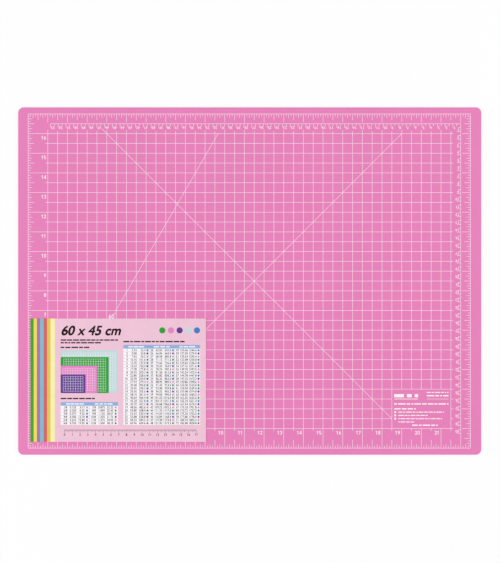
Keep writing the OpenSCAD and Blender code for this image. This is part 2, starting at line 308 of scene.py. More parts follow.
@dataclass(frozen=True)
class Finish:
    """A finish that a piece's surface can have."""

    name: str
    tint: Tint
    roughness: float = 0.52
    roughness_spread: float = 0.25
    gloss: float = 0.35

    def layers(self, graph: SurfaceGraph) -> Layers:
        """Returns the colour, a texture about 0.5 that the roughness follows, and the bumped normal."""
        raise NotImplementedError

    def shades(self, contrast: float) -> tuple[Colour, Colour]:
        """Returns the tint a little darker and a little lighter."""
        return self.tint.linear(1 - contrast), self.tint.linear(1 + contrast)

    @cache
    def material(self) -> bpy.types.Material:
        """Makes the finish's material, when it is first asked for.

        Returns:
            The material.
        """
        graph = SurfaceGraph(self.name)
        colour, texture, normal = self.layers(graph)
        sockets = {
            "Base Color": colour,
            "Roughness": self.roughness + (texture - 0.5) * self.roughness_spread,
            "Specular IOR Level": self.gloss,
            "Normal": normal,
        }
        shader = graph.add("ShaderNodeBsdfPrincipled", sockets=sockets)
        graph.add("ShaderNodeOutputMaterial", sockets={"Surface": shader})
        return graph.material


@dataclass(frozen=True)
class EmbossedVinyl(Finish):
    """Matt vinyl sheet with a fine pebble emboss and faint clouds in its colour."""

    pebble: float = 1.1 * MM
    pore: float = 0.3 * MM
    pore_share: float = 0.3
    emboss: float = 0.04 * MM
    cloud: float = 60 * MM
    fleck: float = 5 * MM
    fleck_share: float = 0.3
    cloud_rise: Range = (0.25, 0.75)
    contrast: float = 0.02

    def layers(self, graph: SurfaceGraph) -> Layers:
        """Gives the vinyl its clouds, pores and emboss.

        Args:
            graph: The material's graph.

        Returns:
            The colour, the texture and the normal.
        """
        pores = graph.noise(self.pore)
        height = blended(1 - graph.pebbles(self.pebble), pores, self.pore_share)
        clouds = blended(graph.noise(self.cloud), graph.noise(self.fleck), self.fleck_share)
        colour = graph.blend(graph.mask(clouds, self.cloud_rise), *self.shades(self.contrast))
        return colour, pores, graph.relief(height, self.emboss)


@dataclass(frozen=True)
class CutEdge(Finish):
    """A ply whose cut edge shows, with the fine drag lines of the die."""

    drag: float = 0.5 * MM
    drag_stretch: Stretch = (1.0, 1.0, 0.08)
    fleck: float = 2 * MM
    fleck_share: float = 0.4
    contrast: float = 0.09
    depth: float = 0.04 * MM

    def layers(self, graph: SurfaceGraph) -> Layers:
        """Gives the ply its flecks and drag lines.

        Args:
            graph: The material's graph.

        Returns:
            The colour, the texture and the normal.
        """
        lines = graph.noise(self.drag, self.drag_stretch)
        flecks = graph.noise(self.fleck)
        colour = graph.blend(blended(lines, flecks, self.fleck_share), *self.shades(self.contrast))
        return colour, flecks, graph.relief(lines, self.depth)


@dataclass(frozen=True)
class ScreenInk(Finish):
    """Matt screen-print ink, a little thin in specks where the vinyl shows through it."""

    ground: Tint = Tint.MAT_PINK
    speck: float = 0.35 * MM
    speck_rise: Range = (0.56, 0.75)
    patch: float = 18 * MM
    wear: float = 0.2
    patchiness: float = 0.04
    depth: float = 0.01 * MM

    def layers(self, graph: SurfaceGraph) -> Layers:
        """Gives the ink its thin specks and patches.

        Args:
            graph: The material's graph.

        Returns:
            The colour, the texture and the normal.
        """
        specks = graph.noise(self.speck)
        thin = graph.mask(specks, self.speck_rise) * self.wear + graph.noise(self.patch) * self.patchiness
        colour = graph.blend(thin, self.tint.linear(), self.ground.linear())
        return colour, specks, graph.relief(specks, self.depth)


@dataclass(frozen=True)
class CoatedPaper(Finish):
    """Coated paper or an ink on it, smooth, with faint fibres under the coat."""

    roughness: float = 0.4
    gloss: float = 0.4
    fibre: float = 0.9 * MM
    fibre_stretch: Stretch = (1.0, 0.45, 1.0)
    cloud: float = 14 * MM
    cloud_share: float = 0.6
    shade_rise: Range = (0.3, 0.7)
    contrast: float = 0.025
    depth: float = 0.012 * MM

    def layers(self, graph: SurfaceGraph) -> Layers:
        """Gives the paper its fibres and faint clouds.

        Args:
            graph: The material's graph.

        Returns:
            The colour, the texture and the normal.
        """
        fibres = graph.noise(self.fibre, self.fibre_stretch)
        shade = graph.mask(blended(fibres, graph.noise(self.cloud), self.cloud_share), self.shade_rise)
        colour = graph.blend(shade, *self.shades(self.contrast))
        return colour, fibres, graph.relief(fibres, self.depth)


PAPER_FACE = CoatedPaper("card_face_finish", Tint.CARD_PINK)
PAPER_BACK = CoatedPaper("card_back_finish", Tint.CARD_BACK, roughness=0.6)
BLACK_GLOSS = 0.08


def card_ink(tint: Tint) -> bpy.types.Material:
    """Returns the material of an ink on the card, of which the black one is matt."""
    gloss = BLACK_GLOSS if tint is Tint.BLACK else CoatedPaper.gloss
    return CoatedPaper(f"card_{tint.name.lower()}_ink", tint, gloss=gloss).material()


class Align(Enum):
    """Which end of a line of figures stands at its place."""

    LEFT = "LEFT"
    MIDDLE = "CENTER"
    RIGHT = "RIGHT"


@dataclass(frozen=True)
class Lettering:
    """How bold figures are drawn. Pitch, swell and smallest edge are shares of the font's size."""

    align: Align
    pitch: float = 1.0
    swell: float = 0.016
    smallest_edge: float = 0.006
    curve_points: int = 2


class ShapeGraph(Graph):
    """A Geometry Nodes tree with named sizes, which is turned into a plain mesh."""

    socket_types = {float: "NodeSocketFloat", int: "NodeSocketInt", str: "NodeSocketString"}

    def __init__(self, name: str) -> None:
        """Makes an empty tree.

        Args:
            name: The tree's name, which its piece gets too.
        """
        super().__init__(bpy.data.node_groups.new(name, "GeometryNodeTree"))
        self.name = name
        self.tree.interface.new_socket("Shape", in_out="OUTPUT", socket_type="NodeSocketGeometry")
        self.inputs = self.tree.nodes.new("NodeGroupInput")
        self.values: dict[str, Any] = {}

    def size(self, name: str, value: Any) -> Wire:
        """Adds a named input.

        Args:
            name: Its name.
            value: Its value: a length, a count or a text.

        Returns:
            The input's wire.
        """
        kind = self.socket_types[type(value)]
        socket = self.tree.interface.new_socket(name, in_out="INPUT", socket_type=kind)
        self.values[socket.identifier] = value
        return Wire(self, self.find(self.inputs.outputs, socket.identifier))

    def point(self, x: Number = 0.0, y: Number = 0.0, z: Number = 0.0) -> Wire:
        """Returns a vector of three numbers."""
        return self.add("ShaderNodeCombineXYZ", sockets={"X": x, "Y": y, "Z": z})

    def parts(self, vector: Wire) -> Wire:
        """Returns a vector's X, whose other outputs are its Y and Z."""
        return self.add("ShaderNodeSeparateXYZ", sockets={"Vector": vector})

    def block(self, width: Number, depth: Number, height: Number, across: int = 2, along: int = 2) -> Wire:
        """Returns a closed block about the origin, with a number of points along X and Y."""
        counts = {"Vertices X": across, "Vertices Y": along, "Vertices Z": 2}
        return self.add("GeometryNodeMeshCube", sockets={"Size": self.point(width, depth, height), **counts})

    def disc(self, diameter: Wire, height: Number, sides: int) -> Wire:
        """Returns a closed disc about the origin."""
        sockets = {"Vertices": sides, "Radius": diameter * 0.5, "Depth": height}
        return self.add("GeometryNodeMeshCylinder", sockets=sockets)

    def row(self, count: int, start: Wire, step: Wire) -> Wire:
        """Returns a row of points, from its first one and the way from each to the next."""
        sockets = {"Count": count, "Start Location": start, "Offset": step}
        return self.add("GeometryNodeMeshLine", {"mode": "OFFSET"}, sockets)

    def copies(self, points: Wire, shape: Wire, scale: Optional[Wire] = None) -> Wire:
        """Puts copies of a shape on points.

        Args:
            points: The points.
            shape: The shape.
            scale: What each copy is scaled by along X, Y and Z.

        Returns:
            The copies' wire.
        """
        sockets = {"Points": points, "Instance": shape}
        if scale is not None:
            sockets["Scale"] = scale
        return self.add("GeometryNodeInstanceOnPoints", sockets=sockets)

    def moved(self, shape: Wire, to: Wire) -> Wire:
        """Returns a shape that is moved."""
        return self.add("GeometryNodeTransform", sockets={"Geometry": shape, "Translation": to})

    def joined(self, shapes: Sequence[Wire]) -> Wire:
        """Returns shapes as one."""
        return self.add("GeometryNodeJoinGeometry", sockets={"Geometry": list(shapes)})

    def welded(self, shape: Wire, distance: Number) -> Wire:
        """Returns a shape whose points are merged where they are closer than a distance."""
        return self.add("GeometryNodeMergeByDistance", sockets={"Geometry": shape, "Distance": distance})

    def figures(self, text: str, size: Wire, height: Number, style: Lettering) -> Wire:
        """Adds lines of bold figures as closed solids, with the first line's foot on the X axis.

        Args:
            text: The text.
            size: The font's size.
            height: Their size along Z.
            style: How they are drawn.

        Returns:
            The figures' wire.
        """
        font = bpy.data.fonts.load("<builtin>", check_existing=True)
        settings = {"font": font, "align_x": style.align.value}
        sockets = {"String": self.size("Figures", text), "Size": size, "Line Spacing": style.pitch}
        outlines = self.add("GeometryNodeStringToCurves", settings, sockets)
        outlines = self.add("GeometryNodeRealizeInstances", sockets={"Geometry": outlines})
        smooth = {"Geometry": outlines, "Resolution": style.curve_points}
        outlines = self.add("GeometryNodeSetSplineResolution", sockets=smooth)
        faces = self.add("GeometryNodeFillCurve", {"mode": "TRIANGLES"}, {"Curve": outlines})
        faces = self.welded(faces, size * style.smallest_edge)
        rise = {"Mesh": faces, "Offset": self.point(z=1.0), "Offset Scale": height, "Individual": False}
        raised = self.add("GeometryNodeExtrudeMesh", sockets=rise)
        under = self.add("GeometryNodeFlipFaces", sockets={"Mesh": faces})
        solid = self.welded(self.joined([raised, under]), WELD)
        normal = self.parts(self.add("GeometryNodeInputNormal"))
        level = {0: self.point(normal, normal.out("Y"))}
        outward = self.add("ShaderNodeVectorMath", {"operation": "NORMALIZE"}, level)
        swell = {0: outward, "Scale": size * style.swell}
        offset = self.add("ShaderNodeVectorMath", {"operation": "SCALE"}, swell)
        return self.add("GeometryNodeSetPosition", sockets={"Geometry": solid, "Offset": offset})

    def painted(self, shape: Wire, material: bpy.types.Material, where: Union[bool, Wire] = True) -> Wire:
        """Returns a shape whose faces, or some of them, have a material."""
        sockets = {"Geometry": shape, "Selection": where, "Material": material}
        return self.add("GeometryNodeSetMaterial", sockets=sockets)

    def piece(self, shape: Wire) -> bpy.types.Object:
        """Bakes the tree into an object.

        Args:
            shape: What the tree gives out.

        Returns:
            The object, with a plain mesh whose faces point outwards.
        """
        self.add("NodeGroupOutput", sockets={"Shape": shape})
        made = add_object(self.name, bpy.data.meshes.new(self.name))
        modifier = made.modifiers.new(self.name, "NODES")
        modifier.node_group = self.tree
        for identifier, value in self.values.items():
            modifier[identifier] = value
        mesh = plain_mesh(made)
        made.modifiers.remove(modifier)
        for i in reversed(range(len(mesh.materials))):
            if mesh.materials[i] is None:
                mesh.materials.pop(index=i)
        turn_outwards(mesh)
        mesh.name = self.name
        made.data = mesh
        return made


def add_object(name: str, data: bpy.types.ID) -> bpy.types.Object:
    """Adds an object to the scene.

    Args:
        name: Its name.
        data: Its mesh, curve, camera or lamp.

    Returns:
        The object.
    """
    made = bpy.data.objects.new(name, data)
    bpy.context.scene.collection.objects.link(made)
    return made


def plain_mesh(made: bpy.types.Object) -> bpy.types.Mesh:
    """Returns what an object evaluates to, as a plain mesh."""
    depsgraph = bpy.context.evaluated_depsgraph_get()
    return bpy.data.meshes.new_from_object(made.evaluated_get(depsgraph), depsgraph=depsgraph)


def turn_outwards(mesh: bpy.types.Mesh) -> None:
    """Turns the faces of a mesh of closed solids outwards.

    Args:
        mesh: The mesh.
    """
    faces = bmesh.new()
    faces.from_mesh(mesh)
    bmesh.ops.recalc_face_normals(faces, faces=faces.faces[:])
    faces.to_mesh(mesh)
    faces.free()


def dress_node(name: str, finish: Finish) -> None:
    """Gives a solid of the frame its finish.

    Args:
        name: The node's name.
        finish: The finish.
    """
    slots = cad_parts[name].data.materials
    slots.clear()
    slots.append(finish.material())
    LOG.info("%s: %s", name, finish.name)


@dataclass
class Laminate:
    """The mat's five plies, from the face down."""

    face_skin: Finish = EmbossedVinyl("face_skin_finish", Tint.MAT_PINK)
    face_healing_ply: Finish = CutEdge("face_ply_finish", Tint.PLY_PINK)
    core_sheet: Finish = CutEdge("core_finish", Tint.CORE_WHITE)
    reverse_healing_ply: Finish = CutEdge("reverse_ply_finish", Tint.PLY_PURPLE)
    reverse_skin: Finish = EmbossedVinyl("reverse_skin_finish", Tint.MAT_PURPLE)

    def dress(self) -> None:
        """Gives each ply its finish."""
        for name, finish in vars(self).items():
            dress_node(name, finish)


@dataclass
class RuledPrint:
    """The ink on one face of the mat: its scales, numbers and lines."""

    ink: ScreenInk
    films: Sequence[str]

    def dress(self) -> None:
        """Gives each film of the print its ink."""
        for name in self.films:
            dress_node(name, self.ink)


FACE_PRINT = RuledPrint(ScreenInk("face_print_finish", Tint.INK_WHITE), (
    "front_inch_scale", "back_inch_scale", "left_inch_scale", "right_inch_scale", "inch_numbers",
    "grid_columns", "grid_rows", "bias_lines", "angle_marks", "note_print",
    "back_cm_scale", "right_cm_scale", "back_cm_numbers", "right_cm_numbers",
))
REVERSE_PRINT = RuledPrint(ScreenInk("reverse_print_finish", Tint.INK_WHITE, ground=Tint.MAT_PURPLE), (
    "reverse_long_scales", "reverse_short_scales", "reverse_numbers", "reverse_columns", "reverse_rows",
))


@dataclass(frozen=True)
class Area:
    """A rectangle on the card, placed from the card's left and front edges."""

    left: float
    foot: float
    width: float
    depth: float

    @property
    def middle(self) -> tuple[float, float]:
        """Its middle."""
        return self.left + self.width / 2, self.foot + self.depth / 2


@dataclass
class CardSheet:
    """The loose paper card, which curls up a little at its short sides and carries its print along."""

    body: str = "card"
    node: str = "insert_card"
    slot: str = "card_paper"
    film: float = 0.02 * MM
    lift: float = 0.5 * MM
    corner_share: float = 0.7
    curl_power: float = 6.0
    mesh_step: float = 6 * MM
    face_tilt: float = 0.5
    word: Range = (1.5, 5.5)
    word_gap: float = 0.65

    def __post_init__(self) -> None:
        """Takes the card's place and size from the frame."""
        self.corner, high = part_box(self.node)
        self.top = high.z
        self.width, self.depth, self.thickness = high - self.corner

    def rise(self, x: Length, y: Length) -> Length:
        """Gives how far the paper has curled up at a place.

        Args:
            x: The place along X, in the frame.
            y: The place along Y.

        Returns:
            The height above the flat card.
        """
        across = (x - (self.corner.x + self.width / 2)) * (2 / self.width)
        along = (y - (self.corner.y + self.depth / 2)) * (2 / self.depth)
        side = (across * across) ** (self.curl_power / 2) * self.lift
        return side * (1 - self.corner_share + self.corner_share * along * along)

    def spot(self, graph: ShapeGraph, x: Number, y: Number, layer: float = FIRST_FILM) -> Wire:
        """Returns a place on the card, from its left and front edges, at a height in films of ink."""
        return graph.point(self.corner.x + x, self.corner.y + y, self.top + layer * self.film)

    def points(self, length: float) -> int:
        """Returns how many points a length of paper needs to bend smoothly."""
        return max(2, math.ceil(length / self.mesh_step) + 1)

    def coated(self, graph: ShapeGraph, shape: Wire, material: bpy.types.Material) -> Wire:
        """Bends a flat shape with the paper and gives it its material.

        Args:
            graph: The graph that the shape is in.
            shape: The shape.
            material: The material.

        Returns:
            The finished shape's wire.
        """
        real = graph.add("GeometryNodeRealizeInstances", sockets={"Geometry": shape})
        x = graph.parts(graph.add("GeometryNodeInputPosition"))
        offset = graph.point(z=self.rise(x, x.out("Y")))
        bent = graph.add("GeometryNodeSetPosition", sockets={"Geometry": real, "Offset": offset})
        return graph.painted(bent, material)

    def inked(self, graph: ShapeGraph, shapes: Sequence[Wire], tint: Tint) -> Wire:
        """Returns flat shapes as one that is bent with the paper and has an ink."""
        return self.coated(graph, graph.joined(shapes), card_ink(tint))

    def panel(self, graph: ShapeGraph, area: Area, tint: Tint, layer: float = FIRST_FILM) -> Wire:
        """Adds a printed rectangle.

        Args:
            graph: The graph that it goes in.
            area: Where it is.
            tint: Its colour.
            layer: Its middle's height above the paper, in films of ink.

        Returns:
            The finished rectangle's wire.
        """
        width, depth = graph.size("Panel width", area.width), graph.size("Panel depth", area.depth)
        block = graph.block(width, depth, self.film, self.points(area.width), self.points(area.depth))
        return self.inked(graph, [graph.moved(block, self.spot(graph, *area.middle, layer))], tint)

    def words(self, graph: ShapeGraph, line: Area, seed: int, layer: float = FIRST_FILM) -> Wire:
        """Adds a line of plain bars of random lengths, which stand for words.

        Args:
            graph: The graph that it goes in.
            line: The area that the bars fill from end to end.
            seed: The seed of their lengths.
            layer: Their middle's height above the paper, in films of ink.

        Returns:
            The flat bars' wire.
        """
        shortest, longest = (share * line.depth for share in self.word)
        gap = self.word_gap * line.depth
        count = max(1, round((line.width + gap) / ((shortest + longest) / 2 + gap)))
        index = graph.add("GeometryNodeInputIndex")
        sockets = {"Min_001": shortest, "Max_001": longest, "ID": index, "Seed": graph.size("Seed", seed)}
        length = graph.add("FunctionNodeRandomValue", {"data_type": "FLOAT"}, sockets, "Value_001")
        before = graph.add("GeometryNodeAccumulateField", sockets={"Value": length + gap}, output="Trailing")
        fit = graph.size("Line width", line.width) / (before.out("Total") - gap)
        place = self.spot(graph, line.left + (before + length * 0.5) * fit, line.middle[1], layer)
        points = graph.row(count, graph.point(), graph.point())
        points = graph.add("GeometryNodeSetPosition", sockets={"Geometry": points, "Position": place})
        bar = graph.block(1.0, graph.size("Bar height", line.depth), self.film)
        return graph.copies(points, bar, graph.point(length * fit, 1.0, 1.0))

    def settle(self, graph: ShapeGraph, shapes: Sequence[Wire]) -> bpy.types.Object:
        """Bakes finished shapes into one piece that rides on the card, and returns it."""
        return self.carry(graph.piece(graph.joined(shapes)))

    def carry(self, piece: bpy.types.Object) -> bpy.types.Object:
        """Lets a piece ride on the card.

        Args:
            piece: The piece.

        Returns:
            The piece.
        """
        LOG.info("%s: %d faces", piece.name, len(piece.data.polygons))
        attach(piece, self.body)
        return piece

    def build(self) -> None:
        """Makes the paper, printed pink above and white below and at its cut edges."""
        graph = ShapeGraph("card_sheet")
        width, depth = graph.size("Width", self.width), graph.size("Depth", self.depth)
        thickness = graph.size("Thickness", self.thickness)
        sheet = graph.block(width, depth, thickness, self.points(self.width), self.points(self.depth))
        middle = self.corner.x + self.width / 2, self.corner.y + self.depth / 2
        sheet = graph.moved(sheet, graph.point(*middle, self.top - thickness * 0.5))
        sheet = self.coated(graph, sheet, PAPER_FACE.material())
        upward = graph.parts(graph.add("GeometryNodeInputNormal")).out("Z")
        tilt = {"A": upward, "B": self.face_tilt}
        bare = graph.add("FunctionNodeCompare", {"operation": "LESS_THAN"}, tilt)
        piece = self.settle(graph, [graph.painted(sheet, PAPER_BACK.material(), bare)])
        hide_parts(self.node)


@dataclass
class StripeBand:
    """The stripes along the card's left side."""

    sheet: CardSheet
    stripes: Sequence[tuple[Tint, float]] = (
        (Tint.LEAF, 4.15 * MM),
        (Tint.LEMON, 4.15 * MM),
        (Tint.MAUVE, 4.0 * MM),
        (Tint.SKY, 4.6 * MM),
        (Tint.CORAL, 4.45 * MM),
        (Tint.GOLD, 4.45 * MM),
        (Tint.CREAM, 5.8 * MM),
    )

    def build(self) -> None:
        """Prints the stripes side by side, from the card's front edge to its back edge."""
        graph = ShapeGraph("card_stripes")
        bands, left = [], 0.0
        for tint, width in self.stripes:
            bands.append(self.sheet.panel(graph, Area(left, 0.0, width, self.sheet.depth), tint))
            left += width
        self.sheet.settle(graph, bands)


@dataclass(frozen=True)
class Column:
    """A column of a table: where its figures end, from the table's left edge, and what they are."""

    end: float
    figures: Sequence[str]


@dataclass
class ConversionTable:
    """A printed table: a header band over ruled white rows, with groups of figures and a dot for each."""

    sheet: CardSheet
    name: str
    left: float
    foot: float
    width: float
    columns: Sequence[Column]
    dots: Sequence[float]
    dot_tints: Sequence[Tint] = (Tint.GRASS, Tint.ROSE, Tint.VIOLET, Tint.AZURE)
    dot_d: float = 2.7 * MM
    dot_sides: int = 14
    pitch: float = 4.1 * MM
    header: float = 4.8 * MM
    figure_size: float = 3.8 * MM
    figure_foot: float = 0.79
    rule_w: float = 0.32 * MM
    label_h: float = 1.5 * MM
    label_share: float = 0.62

    def __post_init__(self) -> None:
        """Works out the areas of the rows and of the header band."""
        self.count = len(self.columns[0].figures)
        self.rows = Area(self.left, self.foot, self.width, self.count * self.pitch)
        self.band = Area(self.left, self.foot + self.rows.depth, self.width, self.header)
        self.group_w = self.width / len(self.dots)

    def build_ground(self) -> None:
        """Prints the white rows and the header band."""
        graph = ShapeGraph(f"{self.name}_ground")
        rows = self.sheet.panel(graph, self.rows, Tint.ROW_WHITE)
        self.sheet.settle(graph, [rows, self.sheet.panel(graph, self.band, Tint.HEADER_BLUE)])

    def build_rules(self) -> None:
        """Prints the rules between the rows and between the groups, and the header's labels."""
        graph = ShapeGraph(f"{self.name}_rules")
        sheet, groups = self.sheet, len(self.dots)
        rule, pitch = graph.size("Rule width", self.rule_w), graph.size("Row pitch", self.pitch)
        x, y = self.rows.middle
        line = graph.block(self.width, rule, sheet.film, sheet.points(self.width))
        start = sheet.spot(graph, x, self.foot + self.pitch, SECOND_FILM)
        lines = graph.copies(graph.row(self.count - 1, start, graph.point(y=pitch)), line)
        upright = graph.block(rule, self.rows.depth, sheet.film, 2, sheet.points(self.rows.depth))
        start = sheet.spot(graph, self.left + self.group_w, y, THIRD_FILM)
        uprights = graph.copies(graph.row(groups - 1, start, graph.point(x=self.group_w)), upright)
        rules = sheet.inked(graph, [lines, uprights], Tint.RULE_GREY)
        labels = []
        for i in range(groups):
            left = self.left + (i + (1 - self.label_share) / 2) * self.group_w
            foot = self.band.middle[1] - self.label_h / 2
            label = Area(left, foot, self.label_share * self.group_w, self.label_h)
            labels.append(sheet.words(graph, label, i, SECOND_FILM))
        sheet.settle(graph, [rules, sheet.inked(graph, labels, Tint.ROW_WHITE)])

    def build_figures(self) -> None:
        """Prints the columns of figures."""
        graph = ShapeGraph(f"{self.name}_figures")
        size, film = graph.size("Figure size", self.figure_size), graph.size("Film", self.sheet.film)
        foot = self.band.foot - self.figure_foot * self.pitch
        style = Lettering(Align.RIGHT, self.pitch / self.figure_size)
        shapes = []
        for column in self.columns:
            shape = graph.figures("\n".join(column.figures), size, film, style)
            place = self.sheet.spot(graph, self.left + column.end, foot, THIRD_FILM - HALF_FILM)
            shapes.append(graph.moved(shape, place))
        self.sheet.settle(graph, [self.sheet.inked(graph, shapes, Tint.BLACK)])

    def build_dots(self) -> None:
        """Prints the columns of dots, whose colours take turns."""
        graph = ShapeGraph(f"{self.name}_dots")
        turns = len(self.dot_tints)
        dot = graph.disc(graph.size("Dot diameter", self.dot_d), self.sheet.film, self.dot_sides)
        shapes = []
        for i, tint in enumerate(self.dot_tints):
            count = len(range(i, self.count, turns))
            columns = []
            for place in self.dots:
                middle = self.foot + (i + 0.5) * self.pitch
                start = self.sheet.spot(graph, self.left + place, middle, THIRD_FILM)
                points = graph.row(count, start, graph.point(y=turns * self.pitch))
                columns.append(graph.copies(points, dot))
            shapes.append(self.sheet.inked(graph, columns, tint))
        self.sheet.settle(graph, shapes)

    def build(self) -> None:
        """Prints the whole table."""
        self.build_ground()
        self.build_rules()
        self.build_figures()
        self.build_dots()


@dataclass
class MatNest:
    """A picture of four plain mats of four sizes, which share a corner, each with its own grid."""

    sheet: CardSheet
    left: float
    foot: float
    mats: Sequence[tuple[Tint, float]] = (
        (Tint.AQUA, 74 * MM),
        (Tint.GRASS, 62 * MM),
        (Tint.ROSE, 47 * MM),
        (Tint.VIOLET, 32 * MM),
    )
    ratio: float = 0.75
    margin: float = 2.4 * MM
    cell: float = 3.2 * MM
    line_w: float = 0.25 * MM
    films: int = 3

    def grid(self, graph: ShapeGraph, mat: Area, layer: float) -> list[Wire]:
        """Adds the lines of a mat's grid, as many as fit inside its margin.

        Args:
            graph: The graph that they go in.
            mat: The mat's area.
            layer: The mat's own height above the paper, in films of ink.

        Returns:
            The wires of its columns and of its rows, each on a film of its own.
        """
        sheet = self.sheet
        cell, rule = graph.size("Grid pitch", self.cell), graph.size("Line width", self.line_w)
        columns, rows = (int((side - 2 * self.margin) / self.cell) for side in (mat.width, mat.depth))
        run, reach = columns * self.cell, rows * self.cell
        x, y = mat.middle
        column = graph.block(rule, reach, sheet.film, 2, sheet.points(reach))
        start = sheet.spot(graph, x - run / 2, y, layer + 1)
        uprights = graph.copies(graph.row(columns + 1, start, graph.point(x=cell)), column)
        row = graph.block(run, rule, sheet.film, sheet.points(run))
        start = sheet.spot(graph, x, y - reach / 2, layer + 2)
        return [uprights, graph.copies(graph.row(rows + 1, start, graph.point(y=cell)), row)]

    def build(self) -> None:
        """Prints the mats on each other, and their grids."""
        mats, lines = ShapeGraph("card_nest"), ShapeGraph("card_nest_grids")
        shapes, grids = [], []
        for i, (tint, width) in enumerate(self.mats):
            mat = Area(self.left, self.foot, width, width * self.ratio)
            layer = self.films * i + FIRST_FILM
            shapes.append(self.sheet.panel(mats, mat, tint, layer))
            grids += self.grid(lines, mat, layer)
        self.sheet.settle(mats, shapes)
        self.sheet.settle(lines, [self.sheet.inked(lines, grids, Tint.ROW_WHITE)])


@dataclass
class Heading:
    """The mat's nominal size in bold figures, with a row of round colour chips beyond it."""

    sheet: CardSheet
    left: float
    right: float
    foot: float = 138 * MM
    text: str = "60 x 45 cm"
    size: float = 17 * MM
    style: Lettering = Lettering(Align.LEFT, swell=0.036, curve_points=4)
    slant: float = 0.25
    chips: Sequence[Tint] = (Tint.GRASS, Tint.ROSE, Tint.VIOLET, Tint.AQUA, Tint.AZURE)
    chip_d: float = 8 * MM
    chip_pitch: float = 11.2 * MM
    chip_rise: float = 6 * MM
    chip_sides: int = 32

    def build_figures(self) -> None:
        """Prints the bold figures, which lean to the right."""
        graph = ShapeGraph("card_heading")
        size, film = graph.size("Figure size", self.size), graph.size("Film", self.sheet.film)
        shape = graph.figures(self.text, size, film, self.style)
        lean = graph.point(graph.parts(graph.add("GeometryNodeInputPosition")).out("Y") * self.slant)
        shape = graph.add("GeometryNodeSetPosition", sockets={"Geometry": shape, "Offset": lean})
        place = self.sheet.spot(graph, self.left, self.foot, FIRST_FILM - HALF_FILM)
        self.sheet.settle(graph, [self.sheet.inked(graph, [graph.moved(shape, place)], Tint.BLACK)])

    def build_chips(self) -> None:
        """Prints the colour chips."""
        graph = ShapeGraph("card_chips")
        chip = graph.disc(graph.size("Chip diameter", self.chip_d), self.sheet.film, self.chip_sides)
        first = self.right - self.chip_d / 2 - (len(self.chips) - 1) * self.chip_pitch
        shapes = []
        for i, tint in enumerate(self.chips):
            place = self.sheet.spot(graph, first + i * self.chip_pitch, self.foot + self.chip_rise)
            shapes.append(self.sheet.inked(graph, [graph.moved(chip, place)], tint))
        self.sheet.settle(graph, shapes)

    def build(self) -> None:
        """Prints the heading's figures and chips."""
        self.build_figures()
        self.build_chips()


@dataclass
class Captions:
    """The card's lines of plain bars, which stand for its captions."""

    sheet: CardSheet
    lines: Sequence[Area]

    def build(self) -> None:
        """Prints each line, with the bars' lengths drawn from its own seed."""
        graph = ShapeGraph("card_captions")
        shapes = [self.sheet.words(graph, line, seed) for seed, line in enumerate(self.lines)]
        self.sheet.settle(graph, [self.sheet.inked(graph, shapes, Tint.BLACK)])


@dataclass
class EdgeRuler:
    """The ruler along the card's front edge, in centimetres."""

    sheet: CardSheet
    area: Area
    length_cm: int = 17
    tick_w: float = 0.3 * MM
    ticks: Sequence[tuple[float, float]] = ((1 * MM, 2.2 * MM), (5 * MM, 3.2 * MM), (CM, 4.4 * MM))
    figure_size: float = 4.2 * MM
    figure_foot: float = 0.9 * MM
    style: Lettering = Lettering(Align.MIDDLE)

    def build(self) -> None:
        """Prints the ticks, each set on a film of its own, and the numbers."""
        graph = ShapeGraph("card_ruler")
        sheet = self.sheet
        zero = self.area.middle[0] - self.length_cm * CM / 2
        width, film = graph.size("Tick width", self.tick_w), graph.size("Film", sheet.film)
        shapes = []
        for layer, (step, length) in enumerate(self.ticks):
            middle = self.area.foot + self.area.depth - length / 2
            start = sheet.spot(graph, zero, middle, FIRST_FILM + layer)
            points = graph.row(round(self.length_cm * CM / step) + 1, start, graph.point(x=step))
            shapes.append(graph.copies(points, graph.block(width, length, film)))
        size = graph.size("Figure size", self.figure_size)
        for i in range(self.length_cm + 1):
            foot = self.area.foot + self.figure_foot
            place = sheet.spot(graph, zero + i * CM, foot, FIRST_FILM - HALF_FILM)
            shapes.append(graph.moved(graph.figures(str(i), size, film, self.style), place))
        sheet.settle(graph, [sheet.inked(graph, shapes, Tint.BLACK)])


@dataclass(frozen=True)
class Groups:
    """A table's groups: how many, their lines, and where the columns end and the dots are in each."""

    count: int
    lines: int
    ends: Sequence[float]
    dot: float


